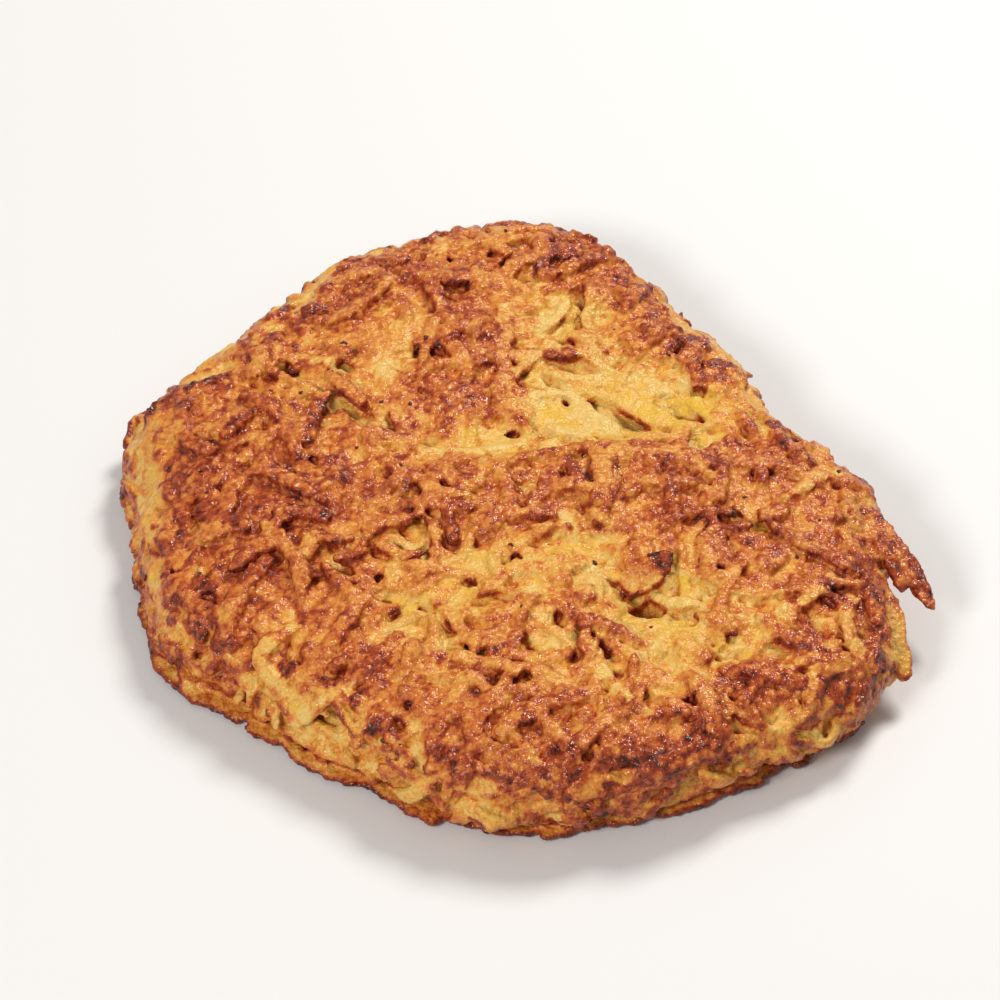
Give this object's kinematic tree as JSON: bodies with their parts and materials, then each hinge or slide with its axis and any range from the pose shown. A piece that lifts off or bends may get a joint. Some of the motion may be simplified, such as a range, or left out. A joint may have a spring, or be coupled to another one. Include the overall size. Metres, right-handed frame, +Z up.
{
  "type": "potato latke",
  "caption": "Thick fried cake of shredded potato, browned on both faces, with an uneven round outline and ragged, crisp edges.",
  "frame": {"origin": "on the ground plane, under the middle of the cake's box", "axes": "+Z up through the cake's thickness, -Y towards the front, where the pale wall shows most"},
  "size_m": [0.0902, 0.0978, 0.0139],
  "materials": {
    "browned_potato": "mottled golden to red-brown fried crust, with the wet gleam of oil"
  },
  "bodies": {
    "root": {"latke": "browned_potato"}
  },
  "joints": []
}
